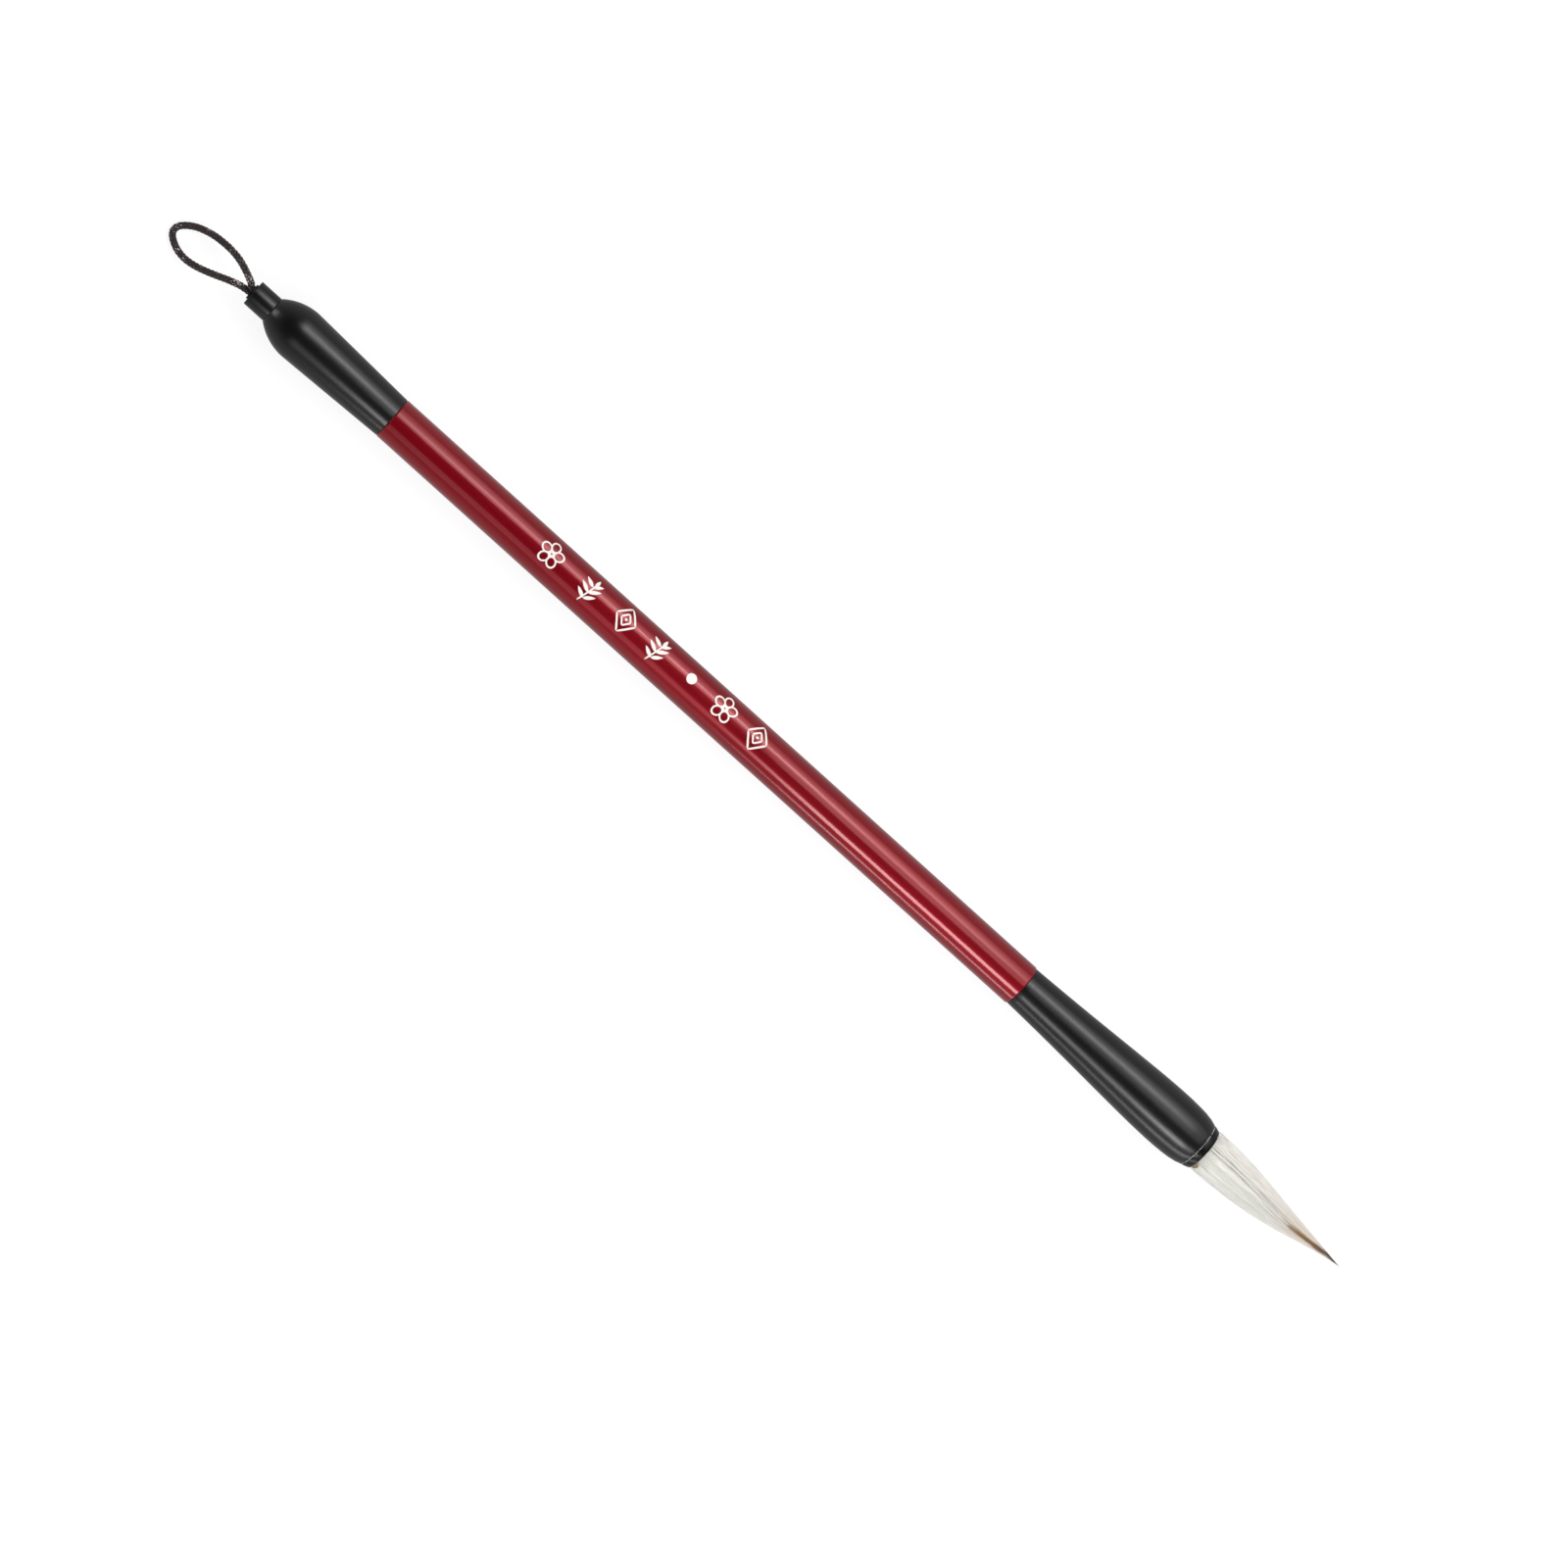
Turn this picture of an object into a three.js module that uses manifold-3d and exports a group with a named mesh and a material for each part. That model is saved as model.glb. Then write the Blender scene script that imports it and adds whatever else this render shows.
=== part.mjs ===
// A calligraphy brush lying on its side: a lacquered wooden shaft between a moulded end cap and a
// flared ferrule, a tuft of white hair round a darker core, and a braided cord loop to hang it by.
// Millimetres. +X runs along the brush towards the tip of the tuft and +Z is up, off the surface
// that the brush lies on. Each piece is drawn along X from the end face of the cord collar, which
// is station 0, and the whole brush is then set down with its middle over the origin.
import * as THREE from "three";
import { mergeVertices } from "three/addons/utils/BufferGeometryUtils.js";
import Module from "manifold-3d";

const wasm = await Module();
wasm.setup();

// ---------------------------------------------------------------- driving dimensions

const gap = 0.1; // room for glue between two pieces that fit together
const edge = 0.2; // size of a broken edge

const shaft = { start: 31.4, end: 176.7, radius: 4.0, socketRadius: 2.65, socketDepth: 12.5 };
const cap = { start: 4.4, neckRadius: 2.47, shoulderEnd: 10.7, shoulderRadius: 4.78, endRadius: 3.95 };
const spigot = { start: 2.1, radius: 1.95, bore: 1.35 };
const knotRoom = { start: 9.6, radius: 1.75 };
const collar = { end: 4.3, radius: 2.43, wall: 1.0, bore: 2.05, hole: 1.6 };
const bush = { lip: -0.35, radius: 1.5, bore: 1.25, flangeStart: 1.1, flangeEnd: 1.9, flangeRadius: 1.9 };
const tenon = { length: 11, radius: 2.5 };
const ferrule = { start: 176.8, end: 218.2, neckRadius: 3.83, bellyStation: 211.1, bellyRadius: 5.24 };
const socket = { start: 206.9, radius: 4.2 };
const ring = { start: 218.3, end: 219.7, radius: 4.42, lip: 4.05, bore: 3.95 };
const ringSpigot = { start: 216.1, radius: 4.1 };
const root = { start: 208.4, radius: 3.83, waist: 3.35 };
const binding = { start: 210.2, turns: 4, thread: 0.55 };
const tuft = { length: 31.8, radius: 4.1, lean: 0.56, bend: 221.5, ball: 3.73 };
const cord = { diameter: 1.2, tailEnd: 9.3, bend: -2.1, ballRadius: 1.35 };

const sides = 32; // flats round a turned piece, an even number with one flat facing down
const innerSides = 24;
const tipStation = ring.end + tuft.length;
const middle = (bush.lip + tipStation) / 2;
const axisHeight = ferrule.bellyRadius * Math.cos(Math.PI / sides); // the belly's flat rests on z = 0

// ---------------------------------------------------------------- materials

const finish = (color, roughness) => new THREE.MeshStandardMaterial({ color, roughness, metalness: 0 });
const redLacquer = finish(0x7a0b14, 0.2);
const blackPlastic = finish(0x1b1b1c, 0.35);
const blackGloss = finish(0x0e0d0c, 0.12);
const blackCord = finish(0x2b2224, 0.85);
const whiteHair = finish(0xe8e4da, 0.6);
const brownHair = finish(0x7d5930, 0.55);
const amberResin = finish(0x9a6a2c, 0.25);
const linenThread = finish(0xcfc3a6, 0.9);

// ---------------------------------------------------------------- ways of making a solid

// Spins an outline round the X axis. An outline is drawn as (radius, station), its outside with
// the station rising, and either closes on itself or starts and ends on the axis.
function turned(outline, count = sides, steps = 3) {
  const geometry = new THREE.LatheGeometry(outline.getPoints(steps), count, Math.PI / count);
  return geometry.rotateZ(-Math.PI / 2);
}

function outlineThrough(points) {
  const outline = new THREE.Path();
  outline.moveTo(...points[0]);
  points.slice(1).forEach((point) => outline.lineTo(...point));
  return outline;
}

const closedThrough = (points) => outlineThrough([...points, points[0]]);

function solidOf(geometry) {
  const bare = geometry.clone().deleteAttribute("normal").deleteAttribute("uv");
  const merged = mergeVertices(bare);
  const mesh = { numProp: 3, vertProperties: merged.attributes.position.array };
  mesh.triVerts = new Uint32Array(merged.index.array);
  return new wasm.Manifold(new wasm.Mesh(mesh));
}

function joined(...geometries) {
  const [first, ...others] = geometries.map(solidOf);
  const mesh = others.reduce((whole, next) => whole.add(next), first).getMesh();
  const geometry = new THREE.BufferGeometry();
  geometry.setAttribute("position", new THREE.BufferAttribute(mesh.vertProperties, 3));
  geometry.setIndex(new THREE.BufferAttribute(mesh.triVerts, 1));
  geometry.computeVertexNormals();
  return geometry;
}

const brush = new THREE.Group();

function add(name, geometry, material) {
  const mesh = new THREE.Mesh(geometry, material);
  mesh.name = name;
  brush.add(mesh);
}

// ---------------------------------------------------------------- handle

// A plain round rod with a drilled socket in each end for the tenons of its neighbours.
function shaftGeometry() {
  const { start, end, radius, socketRadius, socketDepth } = shaft;
  const drillPoint = 1.2;
  return turned(
    outlineThrough([
      [0, start + socketDepth + drillPoint],
      [socketRadius, start + socketDepth],
      [socketRadius, start],
      [radius - edge, start],
      [radius, start + edge],
      [radius, end - edge],
      [radius - edge, end],
      [socketRadius, end],
      [socketRadius, end - socketDepth],
      [0, end - socketDepth - drillPoint],
    ]),
  );
}

// The end cap: a spigot for the collar, a round shoulder, a straight taper down to the shaft and a
// hollow tenon. The cord runs through its bore to the room behind it, where the knot stops it.
function endCapGeometry() {
  const rise = cap.shoulderRadius - cap.neckRadius;
  const run = cap.shoulderEnd - cap.start;
  const arcRadius = (run * run + rise * rise) / (2 * rise);
  const arcStart = Math.asin(run / arcRadius);
  const capEnd = shaft.start - gap;
  const tenonEnd = capEnd + tenon.length;
  const outline = outlineThrough([
    [spigot.radius - edge, spigot.start],
    [spigot.radius, spigot.start + edge],
    [spigot.radius, cap.start],
    [cap.neckRadius, cap.start],
  ]);
  outline.absarc(cap.shoulderRadius - arcRadius, cap.shoulderEnd, arcRadius, -arcStart, 0, false);
  outline.lineTo(cap.endRadius, capEnd);
  outline.lineTo(tenon.radius, capEnd);
  outline.lineTo(tenon.radius, tenonEnd - edge);
  outline.lineTo(tenon.radius - edge, tenonEnd);
  outline.lineTo(knotRoom.radius, tenonEnd);
  outline.lineTo(knotRoom.radius, knotRoom.start);
  outline.lineTo(spigot.bore, knotRoom.start - (knotRoom.radius - spigot.bore));
  outline.lineTo(spigot.bore, spigot.start);
  outline.closePath();
  return turned(outline);
}

// The collar: a short cup over the spigot, with a hole in its end wall for the bush.
function cordCollarGeometry() {
  const { end, radius, wall, bore, hole } = collar;
  return turned(
    closedThrough([
      [hole, 0],
      [radius - edge, 0],
      [radius, edge],
      [radius, end - edge],
      [radius - edge, end],
      [bore, end],
      [bore, wall],
      [hole, wall],
    ]),
    innerSides,
  );
}

// The bush: a short tube that lines the hole and guides the cord, held in by its flange.
function cordBushGeometry() {
  const { lip, radius, bore, flangeStart, flangeEnd, flangeRadius } = bush;
  return turned(
    closedThrough([
      [bore, lip],
      [radius, lip],
      [radius, flangeStart],
      [flangeRadius, flangeStart],
      [flangeRadius, flangeEnd],
      [bore, flangeEnd],
    ]),
    innerSides,
  );
}

// The ferrule: a solid tenon, a concave flare from the shaft, a round belly that closes towards
// the mouth, and a socket for the root of the tuft.
function ferruleGeometry() {
  const tenonEnd = ferrule.start - tenon.length;
  const outline = outlineThrough([
    [0, tenonEnd],
    [tenon.radius - edge, tenonEnd],
    [tenon.radius, tenonEnd + edge],
    [tenon.radius, ferrule.start],
    [ferrule.neckRadius, ferrule.start],
    [4.38, 190.5],
    [5.07, 204.3],
    [5.2, 207.6],
    [ferrule.bellyRadius, ferrule.bellyStation],
    [5.2, 213.6],
    [5.07, 215.7],
    [4.82, 217.1],
    [4.46, ferrule.end],
    [socket.radius, ferrule.end],
    [socket.radius, socket.start],
    [0, socket.start],
  ]);
  return turned(outline);
}

// The ring that finishes the mouth: a rounded bead outside and a spigot inside the socket.
function mouthRingGeometry() {
  const outline = outlineThrough([
    [ring.bore, ringSpigot.start],
    [ringSpigot.radius, ringSpigot.start],
    [ringSpigot.radius, ring.start],
    [ring.radius, ring.start],
    [ring.radius - edge / 2, ring.end - 4 * edge],
  ]);
  outline.quadraticCurveTo(ring.radius - edge, ring.end - edge / 2, ring.lip, ring.end);
  outline.lineTo(ring.bore, ring.end);
  outline.closePath();
  return turned(outline);
}

// ---------------------------------------------------------------- root of the tuft

// The bound root, glued in the socket. Its front is dished to clear the ball at the tuft's base.
function hairRootGeometry() {
  const dish = tuft.ball + 2 * gap;
  const rim = Math.acos(root.radius / dish);
  const bindingEnd = binding.start + binding.turns * binding.thread;
  const outline = outlineThrough([
    [0, root.start],
    [root.radius - edge, root.start],
    [root.radius, root.start + edge],
    [root.radius, binding.start - 2 * edge],
    [root.waist, binding.start - gap],
    [root.waist, bindingEnd + gap],
    [root.radius, bindingEnd + 2 * edge],
  ]);
  outline.absarc(0, tuft.bend, dish, -rim, -Math.PI / 2, true);
  return turned(outline, innerSides);
}

// The turns of thread round the waist of the root, drawn as beads that run together.
function rootThreadGeometry() {
  const inner = root.waist + gap;
  const valley = inner + gap;
  const crest = inner + 0.4;
  const outline = outlineThrough([
    [inner, binding.start],
    [valley, binding.start],
  ]);
  for (let turn = 0; turn < binding.turns; turn += 1) {
    const turnStart = binding.start + turn * binding.thread;
    outline.lineTo(crest, turnStart + binding.thread / 2);
    outline.lineTo(valley, turnStart + binding.thread);
  }
  outline.lineTo(inner, binding.start + binding.turns * binding.thread);
  outline.closePath();
  return turned(outline, innerSides);
}

// The plug of resin that glues the root's cut end to the bottom of the socket.
function rootResinGeometry() {
  const radius = socket.radius - gap;
  return turned(
    outlineThrough([
      [0, socket.start + gap],
      [radius, socket.start + gap],
      [radius, root.start - gap],
      [0, root.start - gap],
    ]),
    innerSides,
  );
}

// ---------------------------------------------------------------- free hair

// Radius of the tuft at share u of its free length, and how far its middle leans to +Y there.
const tuftRadius = (u) => tuft.radius * (1 - u ** 1.9) ** 1.35;
const tuftLean = (u) => tuft.lean * THREE.MathUtils.smoothstep(u, 0.45, 0.95);

// One layer of hair between an inner and an outer share of the tuft's own radius, as far as share
// `reach` of its length. Its base is part of a ball round the bend. The outermost layer follows the
// ball a little past its widest, so that it clears the rim of the root when the tuft bends.
function hairGeometry(inner, outer, reach, steps) {
  const station = (u) => ring.end + u * tuft.length;
  const angleAt = (radius) => -Math.acos(radius / tuft.ball);
  const widest = tuft.radius * outer;
  const waist = THREE.MathUtils.degToRad(22);
  const baseEnd = widest < tuft.ball ? angleAt(widest) : waist;
  const first = (tuft.bend + 1.75 - ring.end) / tuft.length;
  const shareAt = (step) => first + ((reach - first) * step) / steps;
  const outline = new THREE.Path();
  outline.absarc(0, tuft.bend, tuft.ball, angleAt(tuft.radius * inner), baseEnd, false);
  for (let step = 0; step < steps; step += 1) {
    outline.lineTo(tuftRadius(shareAt(step)) * outer, station(shareAt(step)));
  }
  if (inner > 0) {
    outline.lineTo(tuftRadius(reach) * outer, station(reach));
    for (let step = steps; step >= 0; step -= 1) {
      outline.lineTo(tuftRadius(shareAt(step)) * inner, station(shareAt(step)));
    }
    outline.closePath();
  } else {
    outline.lineTo(0, station(reach));
  }
  const geometry = turned(outline, innerSides, 2);
  const position = geometry.attributes.position;
  for (let i = 0; i < position.count; i += 1) {
    const u = (position.getX(i) - ring.end) / tuft.length;
    position.setY(i, position.getY(i) + tuftLean(u));
  }
  return geometry;
}

// ---------------------------------------------------------------- cord

// The middle line of the loop, from the mouth of the bush round and back to it: one strand leaves
// above the other, they part, droop under their own weight and meet in a bight on the surface.
const loopRoute = [
  [-0.3, 0.45, 0.43],
  [-1.5, 1.1, 0.4],
  [-3.5, 1.98, 0.18],
  [-5.4, 2.6, -0.48],
  [-7.4, 2.9, -1.28],
  [-9.3, 2.92, -2.2],
  [-11.3, 2.74, -3.08],
  [-13.2, 2.26, -3.85],
  [-14.6, 1.68, -4.26],
  [-15.8, 0.88, -4.47],
  [-16.6, 0.04, -4.53],
  [-16.9, -0.8, -4.55],
  [-16.7, -1.62, -4.55],
  [-15.8, -2.45, -4.51],
  [-14.2, -3.2, -4.2],
  [-12.3, -3.48, -3.5],
  [-10.3, -3.25, -2.68],
  [-8.3, -2.68, -1.8],
  [-6.4, -1.98, -1],
  [-4.4, -1.2, -0.48],
  [-2.5, -0.6, -0.36],
  [-1.3, -0.4, -0.4],
  [-0.3, -0.35, -0.43],
].map((point) => new THREE.Vector3(...point));

function cordTube(points, steps) {
  const section = new THREE.Shape().absarc(0, 0, cord.diameter / 2, 0, 2 * Math.PI, false);
  const path = new THREE.CatmullRomCurve3(points, false, "centripetal");
  return new THREE.ExtrudeGeometry(section, { steps, curveSegments: 4, extrudePath: path });
}

// The loop swings as one piece about a ball where its two strands run together.
function hangingLoopGeometry() {
  const ball = new THREE.SphereGeometry(cord.ballRadius, 12, 8).translate(cord.bend, 0, 0);
  return joined(cordTube(loopRoute.slice(2, -2), 24), ball);
}

function cordTailsGeometry() {
  const tails = [loopRoute[0], loopRoute[loopRoute.length - 1]].map((mouth) => {
    const inner = mouth.clone().setX(cord.tailEnd);
    return cordTube([mouth, inner], 1);
  });
  return joined(...tails);
}

function cordKnotGeometry() {
  const radius = knotRoom.radius - gap;
  const length = 3.6;
  const knot = new THREE.SphereGeometry(radius, 12, 8).rotateZ(Math.PI / 2);
  const start = knotRoom.start + gap;
  return knot.scale(length / (2 * radius), 1, 1).translate(start + length / 2, 0, 0);
}

// ---------------------------------------------------------------- assembly

add("shaft", shaftGeometry(), redLacquer);
add("end_cap", endCapGeometry(), blackPlastic);
add("cord_collar", cordCollarGeometry(), blackPlastic);
add("cord_bush", cordBushGeometry(), blackGloss);
add("cord_tails", cordTailsGeometry(), blackCord);
add("cord_knot", cordKnotGeometry(), blackCord);
add("hanging_loop", hangingLoopGeometry(), blackCord);
add("ferrule", ferruleGeometry(), blackPlastic);
add("mouth_ring", mouthRingGeometry(), blackGloss);
add("root_resin", rootResinGeometry(), amberResin);
add("root_thread", rootThreadGeometry(), linenThread);
add("hair_root", hairRootGeometry(), whiteHair);
add("mantle_hair", hairGeometry(0.72, 1, 0.86, 8), whiteHair);
add("lining_hair", hairGeometry(0.45, 0.69, 0.5, 4), whiteHair);
add("core_hair", hairGeometry(0, 0.42, 1, 9), brownHair);

brush.position.set(-middle, 0, axisHeight);

export default brush;
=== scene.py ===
# Calligraphy brush lying on its side: the looks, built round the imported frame.
# Sizes are millimetres until a piece is placed. A station is the distance along the brush from the
# end face of the cord collar, and turned pieces are drawn as (station, radius) round its axis.
import bmesh
import bpy
import math
import random
from mathutils import Matrix, Vector, noise


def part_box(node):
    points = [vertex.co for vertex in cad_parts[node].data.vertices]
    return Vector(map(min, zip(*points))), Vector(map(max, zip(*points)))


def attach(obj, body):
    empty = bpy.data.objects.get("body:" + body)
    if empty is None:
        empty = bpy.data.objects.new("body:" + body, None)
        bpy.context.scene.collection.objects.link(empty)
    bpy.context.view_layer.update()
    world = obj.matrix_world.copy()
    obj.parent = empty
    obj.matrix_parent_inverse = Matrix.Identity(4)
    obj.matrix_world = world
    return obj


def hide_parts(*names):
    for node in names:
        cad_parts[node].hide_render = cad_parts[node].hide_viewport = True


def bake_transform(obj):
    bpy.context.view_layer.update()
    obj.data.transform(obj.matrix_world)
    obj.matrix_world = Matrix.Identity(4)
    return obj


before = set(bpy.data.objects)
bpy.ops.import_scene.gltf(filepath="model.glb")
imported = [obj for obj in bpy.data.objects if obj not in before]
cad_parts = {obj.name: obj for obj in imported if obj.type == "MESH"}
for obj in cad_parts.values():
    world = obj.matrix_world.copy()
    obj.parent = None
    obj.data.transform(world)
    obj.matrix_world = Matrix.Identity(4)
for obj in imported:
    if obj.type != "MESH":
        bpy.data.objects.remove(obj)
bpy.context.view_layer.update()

mm = 0.001
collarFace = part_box("cord_collar")[0].x
axisHeight = sum(corner.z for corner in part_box("shaft")) / 2
scene = bpy.context.scene
scene.view_settings.view_transform = "Standard"


# A point of the brush in metres, from its station, its place across and its height over the axis
def place(station, across=0.0, up=0.0):
    return Vector((collarFace + station * mm, across * mm, axisHeight + up * mm))


# The station of a point, from its x in metres
def stationOf(x):
    return (x - collarFace) / mm


# Goes smoothly from 0 to 1 while the value goes from low to high
def ease(value, low, high):
    share = min(max((value - low) / (high - low), 0), 1)
    return share * share * (3 - 2 * share)


# Points on a smooth line through the given points, about step apart
def smoothLine(points, step):
    ends = [points[0] * 2 - points[1]] + points + [points[-1] * 2 - points[-2]]
    line = []
    for a, b, c, d in zip(ends, ends[1:], ends[2:], ends[3:]):
        cuts = max(1, round((c - b).length / step))
        for cut in range(cuts):
            t = cut / cuts
            bend = a * 2 - b * 5 + c * 4 - d
            swing = b * 3 - a - c * 3 + d
            line.append((b * 2 + (c - a) * t + bend * t**2 + swing * t**3) / 2)
    return line + [points[-1]]


# The camera looks at a point of the brush from a distance in metres. tilt leans it towards the cord
# end, and fall is how steeply the brush runs down across the frame, both in degrees
view = {"station": 122.85, "across": -1.6, "tilt": 7.0, "fall": 42.04, "distance": 1.1, "lens": 147.8}


def makeCamera():
    tilt, fall = math.radians(view["tilt"]), math.radians(view["fall"])
    back = Vector((-math.sin(tilt), 0, math.cos(tilt)))
    along = Vector((math.cos(tilt), 0, math.sin(tilt)))
    across = Vector((0, 1, 0))
    right = along * math.cos(fall) + across * math.sin(fall)
    up = across * math.cos(fall) - along * math.sin(fall)
    data = bpy.data.cameras.new("camera")
    data.lens = view["lens"]
    data.clip_start = 0.01
    camera = bpy.data.objects.new("camera", data)
    camera.matrix_world = Matrix((right, up, back)).transposed().to_4x4()
    camera.location = place(view["station"], view["across"]) + back * view["distance"]
    scene.collection.objects.link(camera)
    scene.camera = camera


makeCamera()
print("camera ready")


# An sRGB hex colour as the linear one that a shader works in
def linear(hexColour):
    parts = [int(hexColour[i : i + 2], 16) / 255 for i in (0, 2, 4)]
    return [p / 12.92 if p <= 0.04045 else ((p + 0.055) / 1.055) ** 2.4 for p in parts] + [1.0]


# Adds a node. An input is given a value, or another node's output to be linked to
def addNode(material, kind, inputs=None, **settings):
    tree = material.node_tree
    node = tree.nodes.new(kind)
    for name, value in settings.items():
        setattr(node, name, value)
    for socket, value in (inputs or {}).items():
        if isinstance(value, bpy.types.NodeSocket):
            tree.links.new(value, node.inputs[socket])
        else:
            node.inputs[socket].default_value = value
    return node


def newMaterial(name):
    material = bpy.data.materials.new(name)
    material.use_nodes = True
    material.node_tree.nodes.clear()
    return material


def finishMaterial(material, sockets):
    shader = addNode(material, "ShaderNodeBsdfPrincipled", sockets)
    addNode(material, "ShaderNodeOutputMaterial", {"Surface": shader.outputs[0]})
    return material


# Noise on the object's own coordinates, with features of the given size, drawn out along the brush
def grainNoise(material, size, stretch=1.0, detail=3.0, roughness=0.55):
    where = addNode(material, "ShaderNodeTexCoord").outputs["Object"]
    turned = addNode(material, "ShaderNodeMapping", {"Vector": where, "Scale": (1 / stretch, 1, 1)})
    return addNode(material, "ShaderNodeTexNoise", {
        "Vector": turned.outputs[0], "Scale": 1 / (size * mm), "Detail": detail, "Roughness": roughness,
    }).outputs["Fac"]


def ramp(material, factor, stops):
    node = addNode(material, "ShaderNodeValToRGB", {"Fac": factor})
    elements = node.color_ramp.elements
    while len(elements) < len(stops):
        elements.new(0.5)
    for element, (position, colour) in zip(elements, stops):
        element.position = position
        element.color = linear(colour)
    return node.outputs["Color"]


def bump(material, height, depth, under=None):
    sockets = {"Height": height, "Strength": 1.0, "Distance": depth * mm}
    if under:
        sockets["Normal"] = under
    return addNode(material, "ShaderNodeBump", sockets).outputs["Normal"]


# Deep red polyurethane lacquer with a little pearl in it, dipped over a sanded rod: the clear top
# layer carries sharp reflections, and below it the red glows wide round each of them
def dippedRedLacquer():
    material = newMaterial("dipped_red_lacquer")
    cloud = grainNoise(material, 6, stretch=8)
    colour = ramp(material, cloud, [(0.35, "820012"), (0.65, "8c0317")])
    sag = bump(material, grainNoise(material, 1.3, stretch=16, detail=2), 0.018)
    peel = bump(material, grainNoise(material, 0.5, stretch=2.5, detail=2), 0.0022, sag)
    return finishMaterial(material, {
        "Base Color": colour, "Roughness": 0.34, "Metallic": 0.42, "Specular IOR Level": 0.15,
        "Normal": peel, "Coat Weight": 0.85, "Coat Roughness": 0.12, "Coat IOR": 1.5, "Coat Normal": peel,
    })


# Black ABS from a polished mould: a satin gloss with the slight flow waves of a thick moulding
def mouldedBlackAbs():
    material = newMaterial("moulded_black_abs")
    flow = bump(material, grainNoise(material, 2.2, stretch=9, detail=2), 0.014)
    drawn = bump(material, grainNoise(material, 0.7, stretch=18, detail=2), 0.004, flow)
    fine = bump(material, grainNoise(material, 0.35, stretch=2), 0.0008, drawn)
    colour = ramp(material, grainNoise(material, 4, stretch=3), [(0.3, "0b0b0c"), (0.7, "101011")])
    return finishMaterial(material, {
        "Base Color": colour, "Roughness": 0.27, "IOR": 1.52, "Normal": fine,
    })


# Black nylon of the bush and the mouth ring, cut and roughly polished
def polishedBlackNylon():
    material = newMaterial("polished_black_nylon")
    turning = bump(material, grainNoise(material, 0.6, stretch=0.5, detail=3), 0.03)
    colour = ramp(material, grainNoise(material, 1.5), [(0.3, "070606"), (0.7, "0e0c0b")])
    return finishMaterial(material, {
        "Base Color": colour, "Roughness": 0.24, "IOR": 1.53, "Specular IOR Level": 0.3, "Normal": turning,
    })


# Brown-black polyester yarn, braided: soft sheen on each yarn, and scattered pale specks painted into its
# colour as painted glints of fibres catching the light
def braidedPolyester():
    material = newMaterial("braided_polyester")
    fibre = grainNoise(material, 0.07, detail=2)
    # Painted highlight: pale specks in clusters, mixed into the base colour as painted glints
    paintedGlintNoise = addNode(material, "ShaderNodeMath", {
        0: grainNoise(material, 0.24, detail=1, roughness=0.3), 1: grainNoise(material, 2.2, detail=1),
    }, operation="MULTIPLY").outputs[0]
    dark = ramp(material, fibre, [(0.3, "130b0c"), (0.7, "3d2a2d")])
    paintedGlintMask = ramp(material, paintedGlintNoise, [(0.38, "000000"), (0.42, "ffffff")])
    colour = addNode(material, "ShaderNodeMix", {
        "Factor": paintedGlintMask, 6: dark, 7: linear("c8c0bd"),
    }, data_type="RGBA").outputs[2]
    return finishMaterial(material, {
        "Base Color": colour, "Roughness": 0.34, "IOR": 1.55, "Sheen Weight": 0.1, "Sheen Roughness": 0.4,
        "Normal": bump(material, fibre, 0.02),
    })


# Goat hair, washed and combed: cream white, each hair a little different, warmer towards the tip
# and on the side towards +Y
def goatHair():
    material = newMaterial("goat_hair")
    tone = addNode(material, "ShaderNodeAttribute", attribute_name="hairTone").outputs["Fac"]
    share = addNode(material, "ShaderNodeAttribute", attribute_name="hairShare").outputs["Fac"]
    side = addNode(material, "ShaderNodeAttribute", attribute_name="hairSide").outputs["Fac"]
    ivory = ramp(material, tone, [(0.0, "b9b5a6"), (0.2, "dad9ce"), (0.55, "e9e8e1"), (1.0, "f6f5f1")])
    rosy = ramp(material, tone, [(0.0, "beb5aa"), (0.2, "e1dad1"), (0.55, "efebe4"), (1.0, "f9f6f1")])
    upperSide = ramp(material, side, [(0.0, "000000"), (0.7, "ffffff")])
    fresh = addNode(material, "ShaderNodeMix", {
        "Factor": upperSide, 6: ivory, 7: rosy,
    }, data_type="RGBA").outputs[2]
    tipColour = ramp(material, tone, [(0.0, "c4a687"), (0.5, "e6d8c8"), (1.0, "f1e9df")])
    nearTip = ramp(material, share, [(0.5, "000000"), (0.85, "ffffff")])
    colour = addNode(material, "ShaderNodeMix", {
        "Factor": nearTip, 6: fresh, 7: tipColour,
    }, data_type="RGBA").outputs[2]
    return finishMaterial(material, {
        "Base Color": colour, "Roughness": 0.45, "IOR": 1.55, "Sheen Weight": 0.35, "Sheen Roughness": 0.5,
    })


# Stiff weasel hair of the core: golden brown in its length and nearly black at the point
def weaselHair():
    material = newMaterial("weasel_hair")
    share = addNode(material, "ShaderNodeAttribute", attribute_name="hairShare").outputs["Fac"]
    colour = ramp(material, share, [
        (0.0, "7a6266"), (0.5, "a5845c"), (0.68, "8e6a38"), (0.84, "66492f"), (1.0, "35282a"),
    ])
    return finishMaterial(material, {"Base Color": colour, "Roughness": 0.38, "IOR": 1.55})


# Hide glue that has crept out at the mouth: brown, clear and wet-looking
def amberGlue():
    material = newMaterial("amber_glue")
    colour = ramp(material, grainNoise(material, 0.5), [(0.3, "5c4a30"), (0.7, "9c8860")])
    return finishMaterial(material, {
        "Base Color": colour, "Roughness": 0.22, "IOR": 1.5, "Transmission Weight": 0.3,
        "Normal": bump(material, grainNoise(material, 0.3), 0.03),
    })


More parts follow.
